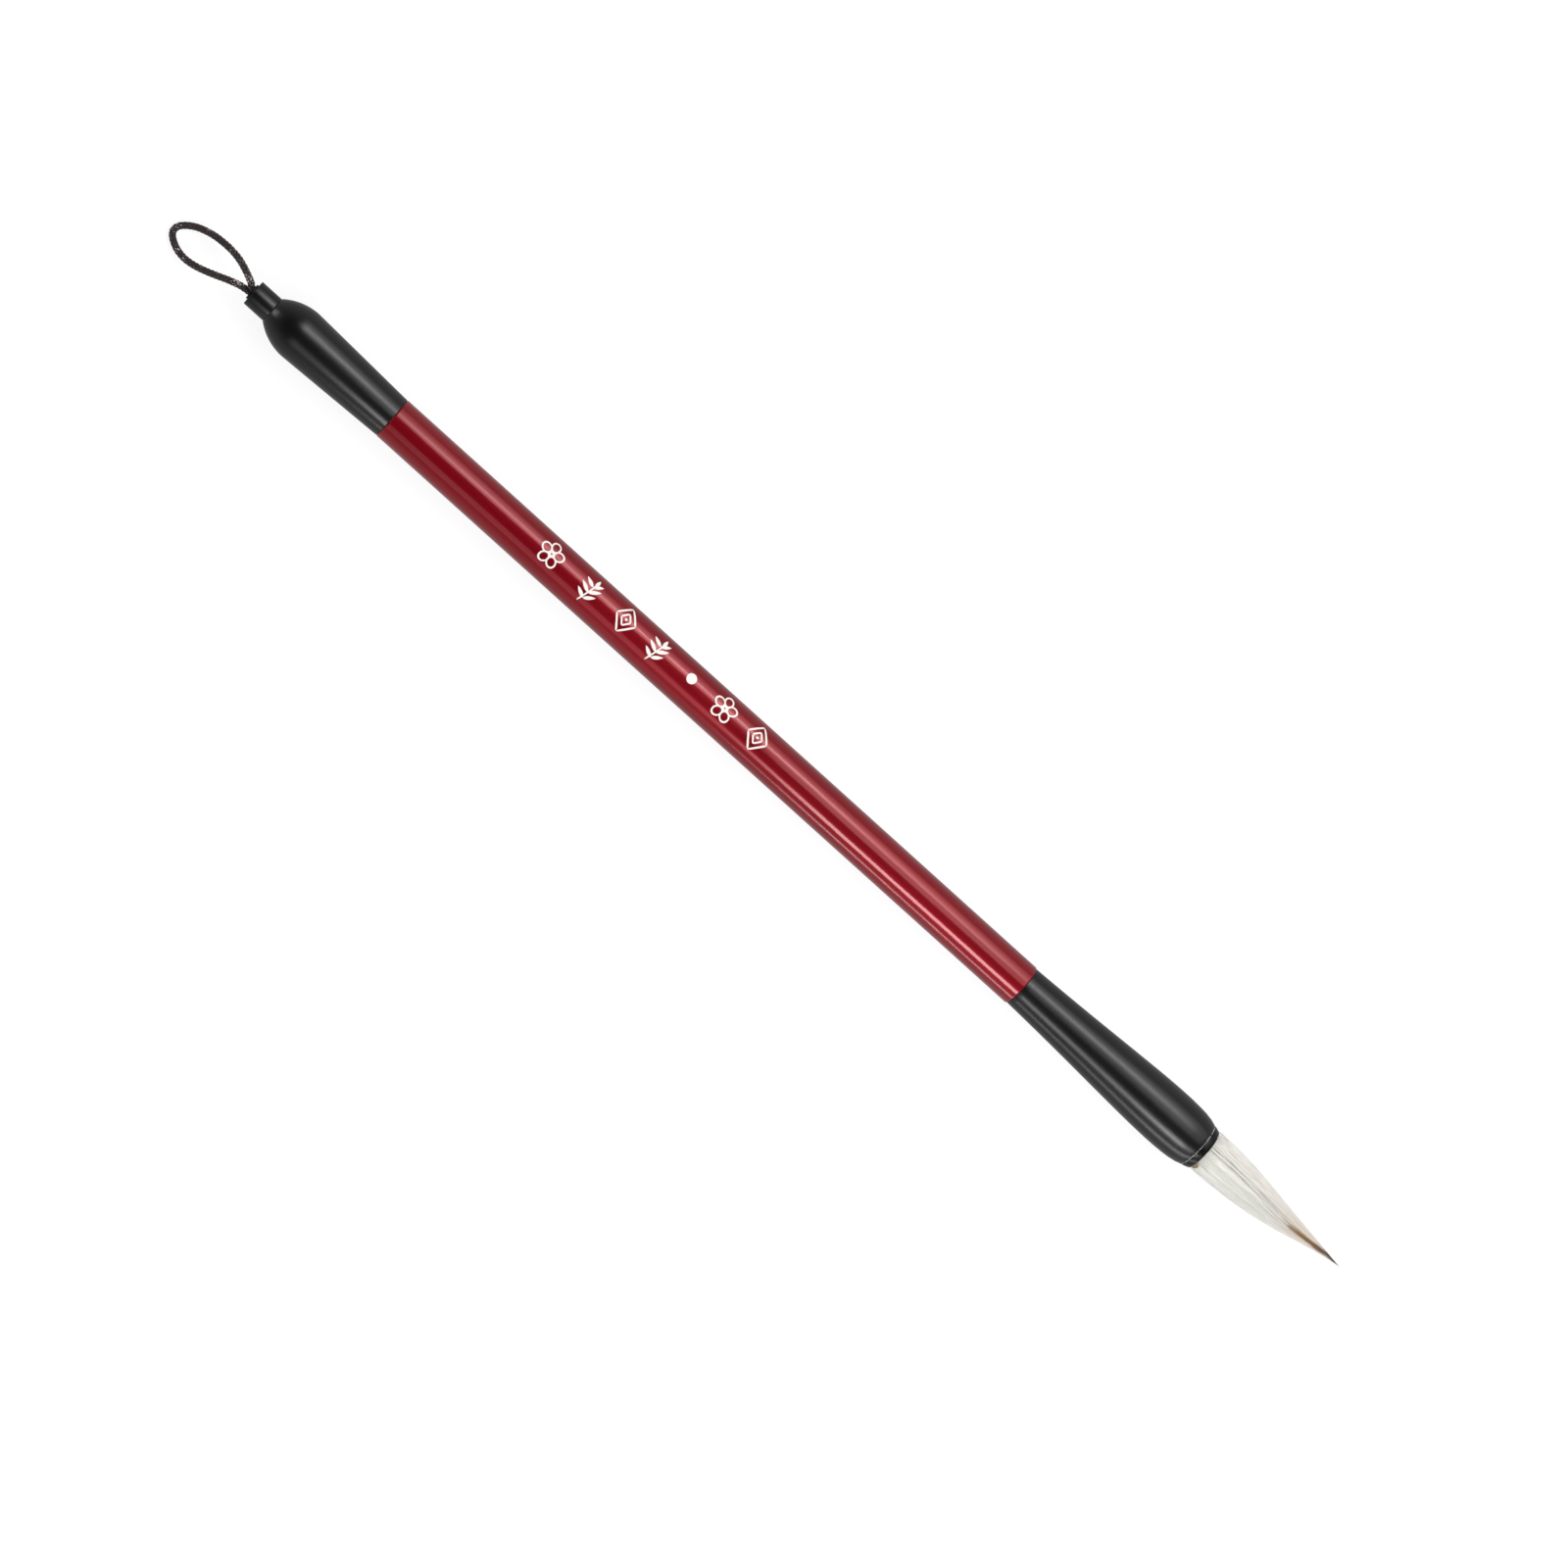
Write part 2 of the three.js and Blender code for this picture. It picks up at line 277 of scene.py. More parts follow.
# A thin line of clear glue whose pale broken dashes are painted glints, standing in for light caught along
# the groove
def glueLinePaintedGlint():
    material = newMaterial("glue_line_painted_glint")
    # Painted highlight: dark and pale by noise, and the pale parts are painted glints along the groove
    colour = ramp(material, grainNoise(material, 0.25), [(0.4, "2d2c2a"), (0.62, "c4c2bd")])
    return finishMaterial(material, {
        "Base Color": colour, "Roughness": 0.3, "IOR": 1.48,
        "Normal": bump(material, grainNoise(material, 0.15), 0.02),
    })


# White pad-printing ink: a matt film with a faint tooth
def whitePadInk():
    material = newMaterial("white_pad_ink")
    film = grainNoise(material, 0.12)
    colour = ramp(material, film, [(0.25, "e4ded8"), (0.6, "f6f3ee")])
    return finishMaterial(material, {
        "Base Color": colour, "Roughness": 0.55, "IOR": 1.48, "Normal": bump(material, film, 0.003),
    })


# Waxed linen thread of the binding, twisted from a few plies
def waxedLinen():
    material = newMaterial("waxed_linen")
    ply = grainNoise(material, 0.2, stretch=0.5)
    colour = ramp(material, ply, [(0.3, "b5a682"), (0.7, "d8cdb0")])
    return finishMaterial(material, {
        "Base Color": colour, "Roughness": 0.7, "Normal": bump(material, ply, 0.05),
    })


redLacquer = dippedRedLacquer()
blackAbs = mouldedBlackAbs()
blackNylon = polishedBlackNylon()
cordYarn = braidedPolyester()
whiteHair = goatHair()
brownHair = weaselHair()
mouthGlue = amberGlue()
grooveGlintGlue = glueLinePaintedGlint()
printInk = whitePadInk()
linenThread = waxedLinen()
print("materials ready")


# Makes a bmesh into a piece of the brush, shaded smooth except along its sharp edges
def addPiece(name, bm, material, sharpAngle=35):
    mesh = bpy.data.meshes.new(name)
    bm.to_mesh(mesh)
    bm.free()
    mesh.polygons.foreach_set("use_smooth", [True] * len(mesh.polygons))
    mesh.set_sharp_from_angle(angle=math.radians(sharpAngle))
    mesh.materials.append(material)
    piece = bpy.data.objects.new(name, mesh)
    scene.collection.objects.link(piece)
    return piece


# Spins an outline of (station, radius) points round the brush. rounds gives the size of a rounded
# corner by the number of its point
def turnedBmesh(outline, rounds, closed=True, steps=96):
    bm = bmesh.new()
    corners = [bm.verts.new(place(station, 0, radius)) for station, radius in outline]
    for a, b in zip(corners, corners[1:]):
        bm.edges.new((a, b))
    if closed:
        bm.edges.new((corners[-1], corners[0]))
    for number, size in rounds.items():
        bmesh.ops.bevel(bm, geom=[corners[number]], offset=size * mm, offset_type="OFFSET", segments=4,
                        profile=0.5, affect="VERTICES", material=-1)
    bmesh.ops.spin(bm, geom=bm.verts[:] + bm.edges[:], cent=place(0), axis=(1, 0, 0),
                   angle=2 * math.pi, steps=steps, use_merge=True)
    bmesh.ops.remove_doubles(bm, verts=bm.verts, dist=0.002 * mm)
    bmesh.ops.recalc_face_normals(bm, faces=bm.faces)
    return bm


# The hanging cord. Its route is (station, across, up) at points along its middle, from the knot out
# through the bush, round the loop and back to the knot
cord = {
    "diameter": 1.32,
    "yarnRadius": 0.14,
    "layRadius": 0.44,      # where the yarns run, round the cord's middle
    "weave": 0.085,         # how far a yarn goes over and under the others
    "pitch": 4.6,           # length of one turn of a yarn
    "yarnsEachWay": 6,
    "coreRadius": 0.38,
    "step": 0.11,           # between the rings of a yarn, and four times that in the core
    "route": [
        (9.3, 0.45, 0.43), (4.5, 0.45, 0.43),
        (-0.3, 0.45, 0.43), (-1.5, 1.1, 0.4), (-3.5, 1.98, 0.18), (-5.4, 2.6, -0.48),
        (-7.4, 2.9, -1.28), (-9.3, 2.92, -2.2), (-11.3, 2.74, -3.08), (-13.2, 2.26, -3.85),
        (-14.6, 1.68, -4.26), (-15.8, 0.88, -4.47), (-16.6, 0.04, -4.53), (-16.9, -0.8, -4.55),
        (-16.7, -1.62, -4.55), (-15.8, -2.45, -4.51), (-14.2, -3.2, -4.2), (-12.3, -3.48, -3.5),
        (-10.3, -3.25, -2.68), (-8.3, -2.68, -1.8), (-6.4, -1.98, -1.0), (-4.4, -1.2, -0.48),
        (-2.5, -0.6, -0.36), (-1.3, -0.4, -0.4), (-0.3, -0.35, -0.43),
        (4.5, -0.35, -0.43), (9.3, -0.35, -0.43),
    ],
}


# The line of the cord's middle with a frame that doesn't twist: (point, side, over) at each step
def carriedFrames(line):
    over = Vector((0, 0, 1))
    frames = []
    for number, point in enumerate(line):
        ahead = (line[min(number + 1, len(line) - 1)] - line[max(number - 1, 0)]).normalized()
        side = ahead.cross(over).normalized()
        over = side.cross(ahead).normalized()
        frames.append((point, side, over))
    return frames


# Sweeps round tubes along lines of points, as one curve object made into a mesh
def tubesBmesh(lines, radius, sides):
    curve = bpy.data.curves.new("tubes", "CURVE")
    curve.dimensions = "3D"
    curve.bevel_depth = radius * mm
    curve.bevel_resolution = sides // 2 - 1
    curve.use_fill_caps = True
    for line in lines:
        spline = curve.splines.new("POLY")
        spline.points.add(len(line) - 1)
        for point, where in zip(spline.points, line):
            point.co = (*where, 1)
    holder = bpy.data.objects.new("tubes", curve)
    bm = bmesh.new()
    bm.from_mesh(bpy.data.meshes.new_from_object(holder))
    bpy.data.objects.remove(holder)
    return bm


def makeCord():
    route = [place(*point) for point in cord["route"]]
    line = smoothLine(route, cord["step"] * mm)
    frames = carriedFrames(line)
    yarns = []
    for hand in (1, -1):
        for start in range(cord["yarnsEachWay"]):
            yarn, run = [], 0.0
            for number, (point, side, over) in enumerate(frames):
                run += (point - line[max(number - 1, 0)]).length / mm
                turn = 2 * math.pi * (hand * run / cord["pitch"] + start / cord["yarnsEachWay"])
                wave = math.cos(cord["yarnsEachWay"] * 2 * math.pi * run / cord["pitch"])
                reach = (cord["layRadius"] + hand * cord["weave"] * wave) * mm
                yarn.append(point + (side * math.cos(turn) + over * math.sin(turn)) * reach)
            yarns.append(yarn)
    bm = tubesBmesh(yarns, cord["yarnRadius"], 6)
    core = tubesBmesh([line[::4] + line[-1:]], cord["coreRadius"], 8)
    coreMesh = bpy.data.meshes.new("core")
    core.to_mesh(coreMesh)
    core.free()
    bm.from_mesh(coreMesh)
    piece = addPiece("braided_cord", bm, cordYarn, 60)
    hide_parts("hanging_loop", "cord_tails")
    path = [tuple(point) for point in line]
    length = sum((b - a).length for a, b in zip(line, line[1:]))
    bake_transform(piece)
    print("cord:", round(length / mm, 1), "mm")


makeCord()


# The turned pieces of the handle, in stations along the brush and radii. An edge is the size of a
# rounded corner
shaft = {
    "start": 31.4, "end": 176.7, "radius": 4.0, "socket": 2.65, "depth": 12.5, "edge": 0.24,
    "drill": 1.2,           # length of the drill's cone at the end of each socket
}
cap = {
    "start": 4.34, "neck": 2.47, "shoulderEnd": 10.7, "shoulder": 4.78, "end": 31.37, "endRadius": 3.95,
    "spigotStart": 2.1, "spigot": 1.95, "bore": 1.35, "room": 1.75, "roomStart": 9.6, "roomSlope": 0.4,
    "tenonEnd": 42.3, "tenon": 2.5,
    "neckEdge": 0.05, "endEdge": 0.04, "tenonEdge": 0.3, "spigotEdge": 0.2,
}
collar = {
    "end": 4.32, "radius": 2.43, "wall": 1.0, "bore": 2.05, "hole": 1.6, "edge": 0.1, "holeEdge": 0.08,
}
bush = {
    "lip": -0.35, "radius": 1.5, "bore": 1.25, "flangeStart": 1.1, "flangeEnd": 1.9, "flange": 1.9,
    "edge": 0.1,
}
ferrule = {
    "tenonStart": 165.8, "tenon": 2.5, "start": 176.72, "end": 218.2, "socket": 4.2, "socketStart": 206.9,
    "startEdge": 0.06, "endEdge": 0.1, "tenonEdge": 0.3, "flareStep": 1.2,
    "flare": [(176.72, 3.83), (183.5, 4.07), (190.5, 4.38), (197.5, 4.74), (204.3, 5.07), (207.7, 5.19),
              (211.1, 5.24), (213.6, 5.18), (215.7, 5.04), (217.1, 4.81), (218.2, 4.47)],
}
ring = {
    "start": 218.3, "end": 219.7, "bore": 3.95, "spigotStart": 216.1, "spigot": 4.1,
    "startEdge": 0.1, "endEdge": 0.03,
    "bead": [(218.3, 4.38), (218.6, 4.38), (218.95, 4.3), (219.35, 4.16), (219.7, 4.03)],
}


def makeShaft():
    s = shaft
    outline = [
        (s["start"] + s["depth"] + s["drill"], 0), (s["start"] + s["depth"], s["socket"]),
        (s["start"], s["socket"]), (s["start"], s["radius"]), (s["end"], s["radius"]),
        (s["end"], s["socket"]), (s["end"] - s["depth"], s["socket"]),
        (s["end"] - s["depth"] - s["drill"], 0),
    ]
    bm = turnedBmesh(outline, {3: s["edge"], 4: s["edge"]}, closed=False, steps=128)
    piece = addPiece("lacquered_shaft", bm, redLacquer)
    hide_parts("shaft")
    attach(piece, "handle")


def makeEndCap():
    c = cap
    rise, run = c["shoulder"] - c["neck"], c["shoulderEnd"] - c["start"]
    arcRadius = (run * run + rise * rise) / (2 * rise)
    steps = 16
    arc = []        # the round shoulder, from the neck to its widest place
    for step in range(steps + 1):
        angle = math.asin(run / arcRadius) * (1 - step / steps)
        arc.append((c["shoulderEnd"] - arcRadius * math.sin(angle),
                    c["shoulder"] - arcRadius * (1 - math.cos(angle))))
    tail = [
        (c["end"], c["endRadius"]), (c["end"], c["tenon"]), (c["tenonEnd"], c["tenon"]),
        (c["tenonEnd"], c["room"]), (c["roomStart"], c["room"]),
        (c["roomStart"] - c["roomSlope"], c["bore"]), (c["spigotStart"], c["bore"]),
        (c["spigotStart"], c["spigot"]), (c["start"], c["spigot"]),
    ]
    end = len(arc)
    rounds = {0: c["neckEdge"], end: c["endEdge"], end + 2: c["tenonEdge"], end + 7: c["spigotEdge"]}
    bm = turnedBmesh(arc + tail, rounds)
    piece = addPiece("end_cap_moulding", bm, blackAbs, 40)
    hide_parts("end_cap")
    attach(piece, "handle")


def makeCollar():
    c = collar
    outline = [
        (0, c["hole"]), (0, c["radius"]), (c["end"], c["radius"]), (c["end"], c["bore"]),
        (c["wall"], c["bore"]), (c["wall"], c["hole"]),
    ]
    bm = turnedBmesh(outline, {0: c["holeEdge"], 1: c["edge"], 2: c["edge"]})
    piece = addPiece("collar_tube", bm, blackAbs)
    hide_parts("cord_collar")
    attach(piece, "handle")


def makeBush():
    b = bush
    outline = [
        (b["lip"], b["bore"]), (b["lip"], b["radius"]), (b["flangeStart"], b["radius"]),
        (b["flangeStart"], b["flange"]), (b["flangeEnd"], b["flange"]), (b["flangeEnd"], b["bore"]),
    ]
    bm = turnedBmesh(outline, {corner: b["edge"] for corner in (0, 1, 3, 4)}, steps=64)
    piece = addPiece("cord_bush_sleeve", bm, blackNylon)
    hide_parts("cord_bush")
    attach(piece, "handle")


def makeFerrule():
    f = ferrule
    flarePoints = [Vector((*point, 0)) for point in f["flare"]]
    flare = [(point.x, point.y) for point in smoothLine(flarePoints, f["flareStep"])]
    outline = flare + [
        (f["end"], f["socket"]), (f["socketStart"], f["socket"]), (f["socketStart"], 0),
        (f["tenonStart"], 0), (f["tenonStart"], f["tenon"]), (f["start"], f["tenon"]),
    ]
    end = len(flare) - 1
    bm = turnedBmesh(outline, {0: f["startEdge"], end: f["endEdge"], end + 5: f["tenonEdge"]}, steps=128)
    piece = addPiece("ferrule_moulding", bm, blackAbs, 40)
    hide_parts("ferrule")
    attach(piece, "handle")


def makeMouthRing():
    r = ring
    outline = [
        (r["spigotStart"], r["bore"]), (r["spigotStart"], r["spigot"]), (r["start"], r["spigot"]),
    ] + r["bead"] + [(r["end"], r["bore"])]
    bm = turnedBmesh(outline, {3: r["startEdge"], 7: r["endEdge"]}, steps=128)
    piece = addPiece("mouth_ring_bead", bm, blackNylon)
    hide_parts("mouth_ring")
    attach(piece, "handle")


makeShaft()
makeEndCap()
makeCollar()
makeBush()
makeFerrule()
makeMouthRing()
print("handle ready")


# The ornaments and the dot, printed in a row along the shaft
prints = {
    "stations": [66.7, 75.75, 83.55, 91.1, 106.2, 113.7],
    "turns": [14.0, 8.0, 17.0, 10.7, 17.3, 17.3],    # degrees from the top of the shaft towards +Y
    "dotStation": 98.6,
    "dotTurn": 17.4,
    "size": 5.2,
    "line": 0.34,
    "film": 0.03,           # thickness of the ink, drawn thicker than real so that it stands clear
    "sunk": 0.01,           # how far the ink reaches into the lacquer
    "dot": 0.95,
}


# A bar from a to b with round ends, in the flat of the ornament
def drawBar(bm, a, b, width):
    a, b = Vector((*a, 0)), Vector((*b, 0))
    made = bmesh.ops.create_grid(bm, x_segments=10, y_segments=2, size=0.5)["verts"]
    turn = Matrix.Rotation(math.atan2((b - a).y, (b - a).x), 4, "Z")
    for vert in made:
        along = vert.co.x + 0.5
        narrow = math.sqrt(max(1 - abs(2 * along - 1) ** 8, 0.02))
        vert.co = a.lerp(b, along) + turn @ Vector((0, vert.co.y * width * narrow, 0))


# A leaf or petal from its stalk, with its widest place nearer to the stalk
def drawLeaf(bm, stalk, angle, length, width):
    made = bmesh.ops.create_grid(bm, x_segments=12, y_segments=2, size=0.5)["verts"]
    turn = Matrix.Rotation(math.radians(angle), 4, "Z")
    for vert in made:
        along = vert.co.x + 0.5
        swell = math.sin(math.pi * along**0.8) ** 0.8 if 0 < along < 1 else 0.0
        across = vert.co.y * width * max(swell, 0.03)
        vert.co = Vector((*stalk, 0)) + turn @ Vector((along * length, across, 0))


# A round outline of the given line width
def drawRing(bm, centre, radius, width, squash=1.0, angle=0.0):
    made = bmesh.ops.create_grid(bm, x_segments=28, y_segments=1, size=0.5)["verts"]
    turn = Matrix.Rotation(math.radians(angle), 4, "Z")
    for vert in made:
        around = 2 * math.pi * (vert.co.x + 0.5)
        reach = radius - vert.co.y * width
        rim = Vector((reach * math.cos(around), reach * squash * math.sin(around), 0))
        vert.co = Vector((*centre, 0)) + turn @ rim


def drawBlossom(bm, size, line):
    for petal in range(5):
        angle = 72 * petal + 90
        reach = size * 0.27
        centre = (reach * math.cos(math.radians(angle)), reach * math.sin(math.radians(angle)))
        drawRing(bm, centre, size * 0.18, line, squash=0.85, angle=angle)
    drawRing(bm, (0, 0), size * 0.06, line * 0.8)


def drawSprig(bm, size, line):
    half = size / 2
    drawBar(bm, (-0.15 * size, -half), (0.05 * size, half * 0.5), line * 0.8)
    for height, length in ((-0.3, 0.42), (-0.06, 0.46), (0.18, 0.4)):
        middle = (-0.02 * size + 0.06 * height * size, height * size)
        drawLeaf(bm, middle, 38, size * length, line * 1.9)
        drawLeaf(bm, middle, 152, size * length, line * 1.9)
    drawLeaf(bm, (0.05 * size, half * 0.45), 84, size * 0.34, line * 1.9)


def drawLattice(bm, size, line):
    half = size / 2
    inner = 0.48        # size of the inner diamond against the outer one
    points = [(0, half), (half * 0.8, 0), (0, -half), (-half * 0.8, 0)]
    for a, b in zip(points, points[1:] + points[:1]):
        drawBar(bm, a, b, line)
        drawBar(bm, [v * inner for v in a], [v * inner for v in b], line * 0.9)
    drawRing(bm, (0, 0), line * 0.35, line * 0.6)


def drawDot(bm, radius):
    made = bmesh.ops.create_grid(bm, x_segments=10, y_segments=10, size=1.0)["verts"]
    for vert in made:
        x, y = vert.co.x, vert.co.y
        vert.co.x = radius * x * math.sqrt(1 - y * y / 2)
        vert.co.y = radius * y * math.sqrt(1 - x * x / 2)


# Gives a flat drawing the thickness of the ink film and lays it round the shaft at a station
def printOnShaft(name, bm, station, turn):
    bmesh.ops.remove_doubles(bm, verts=bm.verts, dist=0.01)
    bmesh.ops.recalc_face_normals(bm, faces=bm.faces)
    film = bmesh.ops.extrude_face_region(bm, geom=bm.faces[:])["geom"]
    for vert in [v for v in film if isinstance(v, bmesh.types.BMVert)]:
        vert.co.z = prints["film"]
    for vert in bm.verts:
        angle = math.radians(turn) + vert.co.y / shaft["radius"]
        reach = shaft["radius"] - prints["sunk"] + vert.co.z
        vert.co = place(station + vert.co.x, reach * math.sin(angle), reach * math.cos(angle))
    bmesh.ops.recalc_face_normals(bm, faces=bm.faces)
    piece = addPiece(name, bm, printInk, 50)
    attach(piece, "handle")


def makePrints():
    drawings = [drawBlossom, drawSprig, drawLattice, drawSprig, drawBlossom, drawLattice]
    for number, draw in enumerate(drawings):
        bm = bmesh.new()
        draw(bm, prints["size"], prints["line"])
        station, turn = prints["stations"][number], prints["turns"][number]
        printOnShaft(f"printed_ornament_{number + 1}", bm, station, turn)
    bm = bmesh.new()
    drawDot(bm, prints["dot"])
    printOnShaft("printed_dot", bm, prints["dotStation"], prints["dotTurn"])


makePrints()
print("prints ready")


# The tuft as a whole, then how many single hairs of each kind it shows
tuft = {"mouth": 219.7, "length": 31.8, "radius": 4.1}
hairCounts = {
    "mantleHalf": 2600, "looseWhite": 60, "goldenCore": 200, "fineDark": 26, "point": 150, "lostDark": 7,
}


# The tuft's radius and its lean across, at a share of its length
def tuftRadius(share):
    return tuft["radius"] * (1 - min(max(share, 0), 1) ** 1.9) ** 1.35


def tuftLean(share):
    return 0.16 + 0.56 * ease(share, 0.45, 0.95)


# A point of the tuft: share of its length, angle from the top towards +Y, share of its radius
def tuftPoint(share, angle, reach):
    squeeze = 0.05 * (1 - ease(share, -0.01, 0.025))    # the mouth ring holds the hair in
    radius = tuftRadius(share) * (reach - squeeze)
    across = tuftLean(share) + radius * math.sin(angle)
    return place(tuft["mouth"] + share * tuft["length"], across, radius * math.cos(angle))


# One hair: a three-sided rod that tapers, closed at both ends and cut into rings along its length
def hairRod(rings):
    bm = bmesh.new()
    bmesh.ops.create_cone(bm, cap_ends=True, segments=3, radius1=1, radius2=0.2, depth=1)
    long = [edge for edge in bm.edges if abs(edge.verts[0].co.z - edge.verts[1].co.z) > 0.5]
    bmesh.ops.subdivide_edges(bm, edges=long, cuts=rings, use_grid_fill=False)
    mesh = bpy.data.meshes.new("hair")
    bm.to_mesh(mesh)
    bm.free()
    return mesh


# Stores a value for each vertex, for the hair materials to read
def giveAttributes(piece, attributes):
    for attribute, values in attributes.items():
        piece.data.attributes.new(attribute, "FLOAT", "POINT").data.foreach_set("value", values)


# A bundle of hairs. Each hair is given by makeHair as (path, thickness, tone, side), where path(t)
# is the point at share t of the hair and the share of the tuft's length that it has reached
def hairBundle(name, count, rings, makeHair, material):
    rod = hairRod(rings)
    shape = [vert.co.copy() for vert in rod.vertices]
    bm = bmesh.new()
    for _ in range(count):
        bm.from_mesh(rod)
    bm.verts.ensure_lookup_table()
    tones, shares, sides = [], [], []
    steps = rings + 1
    for number in range(count):
        path, thickness, tone, side = makeHair()
        points = [path(step / steps) for step in range(steps + 1)]
        for index, corner in enumerate(shape):
            step = round((corner.z + 0.5) * steps)
            point, share = points[step]
            vert = bm.verts[number * len(shape) + index]
            vert.co = point + Vector((0, corner.x, corner.y)) * (thickness / 2 * mm)
            tones.append(tone)
            shares.append(share)
            sides.append(side)
    piece = addPiece(name, bm, material, 180)
    giveAttributes(piece, {"hairTone": tones, "hairShare": shares, "hairSide": sides})
    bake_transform(piece)


# Strands lie in locks, so a hair's tone goes with its neighbours' as well as by chance
def lockTone(angle, seed, chance):
    wide = noise.noise(Vector((math.cos(angle) * 4, math.sin(angle) * 4, seed)))
    narrow = noise.noise(Vector((math.cos(angle) * 15, math.sin(angle) * 15, seed)))
    return min(max(0.6 + 0.2 * wide + 0.3 * narrow + chance.gauss(0, 0.2), 0), 1)


# Where the dark core shows at the top of the tuft: its angle at a share of the length
def coreLine(share):
    return 0.18 - 0.26 * ease(share, 0.3, 0.75)


def makeHairs():
    chance = random.Random(7)

    # The white outer hairs: six in ten stop short, and the others make the taper
    def mantleHair():
        angle = chance.uniform(0, 2 * math.pi)
        reach = 0.97 + chance.uniform(-0.05, 0.03)
        endShare = chance.uniform(0.6, 0.9) if chance.random() < 0.6 else chance.uniform(0.84, 0.96)
        drift = chance.gauss(0, 0.05)
        wave, phase = chance.uniform(0, 0.012), chance.uniform(0, 6.28)
        startShare = -0.03

        def path(t):
            share = startShare + (endShare - startShare) * t
            turn = angle + drift * share + wave * math.sin(7 * share + phase)
            sink = 1 - 0.12 * ease(t, 0.9, 1.0)
            return tuftPoint(share, turn, reach * sink), max(share, 0)

        return path, chance.uniform(0.06, 0.1), lockTone(angle, 0.3, chance), math.sin(angle)

    # The golden hairs of the core, which come up through the mantle before the point
    def goldenCoreHair():
        offset = chance.gauss(0, 0.11)
        startShare = chance.uniform(0.5, 0.82)
        endShare = chance.uniform(0.9, 1.0)
        rising = chance.uniform(0.1, 0.6)

        def path(t):
            share = startShare + (endShare - startShare) * t
            spread = offset * (1 + 2.2 * ease(share, 0.75, 0.95))
            rise = 0.88 + 0.13 * ease(t, 0.0, rising)
            return tuftPoint(share, coreLine(share) + spread, rise), share

        return path, chance.uniform(0.04, 0.07), 0.5, 0

    # Single dark hairs that wander over the white ones
    def fineDarkHair():
        offset = chance.gauss(0, 0.15)
        startShare = chance.uniform(0.28, 0.6)
        endShare = min(startShare + chance.uniform(0.15, 0.45), 0.98)
        wave, phase = chance.uniform(0.01, 0.035), chance.uniform(0, 6.28)

        def path(t):
            share = startShare + (endShare - startShare) * t
            rise = 0.93 + 0.075 * ease(t, 0.0, 0.2)
            turn = coreLine(share) + offset * (1 + share) + wave * math.sin(25 * share + phase)
            return tuftPoint(share, turn, rise), share * 0.3

        return path, chance.uniform(0.032, 0.046), 0.5, 0

    # The dark hairs all round the point
    def pointHair():
        angle = chance.uniform(0, 2 * math.pi)
        startShare = chance.uniform(0.8, 0.93)
        endShare = chance.uniform(0.95, 1.0)

        def path(t):
            share = startShare + (endShare - startShare) * t
            return tuftPoint(share, angle, 0.84 + 0.17 * ease(t, 0, 0.5)), share

        return path, chance.uniform(0.035, 0.06), 0.5, 0

    # A few dark hairs that lie far back, near the mouth
    def lostHair():
        angle = 0.22 + chance.gauss(0, 0.07)
        startShare = chance.uniform(-0.02, 0.15)
        endShare = startShare + chance.uniform(0.12, 0.35)

        def path(t):
            share = startShare + (endShare - startShare) * t
            return tuftPoint(share, angle * (1 - 0.3 * share), 1.0), max(share, 0) * 0.3

        return path, chance.uniform(0.028, 0.04), 0.5, 0

    # White hairs that have sprung a little out of the tuft
    def looseWhiteHair():
        angle = chance.uniform(0, 2 * math.pi)
        endShare = chance.uniform(0.35, 0.85)
        lift = chance.uniform(0.01, 0.035)

        def path(t):
            share = -0.02 + (endShare + 0.02) * t
            return tuftPoint(share, angle, 1.0 + lift * ease(t, 0.1, 1.0)), max(share, 0)

        return path, chance.uniform(0.03, 0.045), 0.9, math.sin(angle)

    counts = hairCounts
    hairBundle("mantle_hairs_a", counts["mantleHalf"], 7, mantleHair, whiteHair)
    hairBundle("mantle_hairs_b", counts["mantleHalf"], 7, mantleHair, whiteHair)
    hairBundle("loose_white_hairs", counts["looseWhite"], 9, looseWhiteHair, whiteHair)
    hairBundle("core_hairs_top", counts["goldenCore"], 8, goldenCoreHair, brownHair)
    hairBundle("fine_dark_hairs", counts["fineDark"], 9, fineDarkHair, brownHair)
    hairBundle("point_hairs", counts["point"], 6, pointHair, brownHair)
    hairBundle("lost_dark_hairs", counts["lostDark"], 9, lostHair, brownHair)


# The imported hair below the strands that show, one smooth body that fills the mantle
def makeHairBody():
    bm = bmesh.new()
    steps = 40
    reach = 0.94        # how far it fills the tuft, in length and in radius
    rings = [bm.verts.new(tuftPoint(reach * step / steps, 0, reach)) for step in range(steps + 1)]
    rings.insert(0, bm.verts.new(place(tuft["mouth"] - 1.5, 0, tuft["radius"] * reach)))
    for a, b in zip(rings, rings[1:]):
        bm.edges.new((a, b))
    for vert in bm.verts:
        vert.co.y = 0
    bmesh.ops.spin(bm, geom=bm.verts[:] + bm.edges[:], cent=place(0), axis=(1, 0, 0),
                   angle=2 * math.pi, steps=64, use_merge=True)
    bmesh.ops.holes_fill(bm, edges=[edge for edge in bm.edges if edge.is_boundary], sides=0)
    bmesh.ops.recalc_face_normals(bm, faces=bm.faces)
    for vert in bm.verts:
        share = (stationOf(vert.co.x) - tuft["mouth"]) / tuft["length"]
        vert.co.y += tuftLean(share) * mm
    shares = [max((stationOf(v.co.x) - tuft["mouth"]) / tuft["length"], 0) for v in bm.verts]
    piece = addPiece("packed_hair", bm, whiteHair, 180)
    giveAttributes(piece, {"hairTone": [0.4] * len(shares), "hairShare": shares})
    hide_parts("mantle_hair", "lining_hair", "core_hair")
    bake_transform(piece)


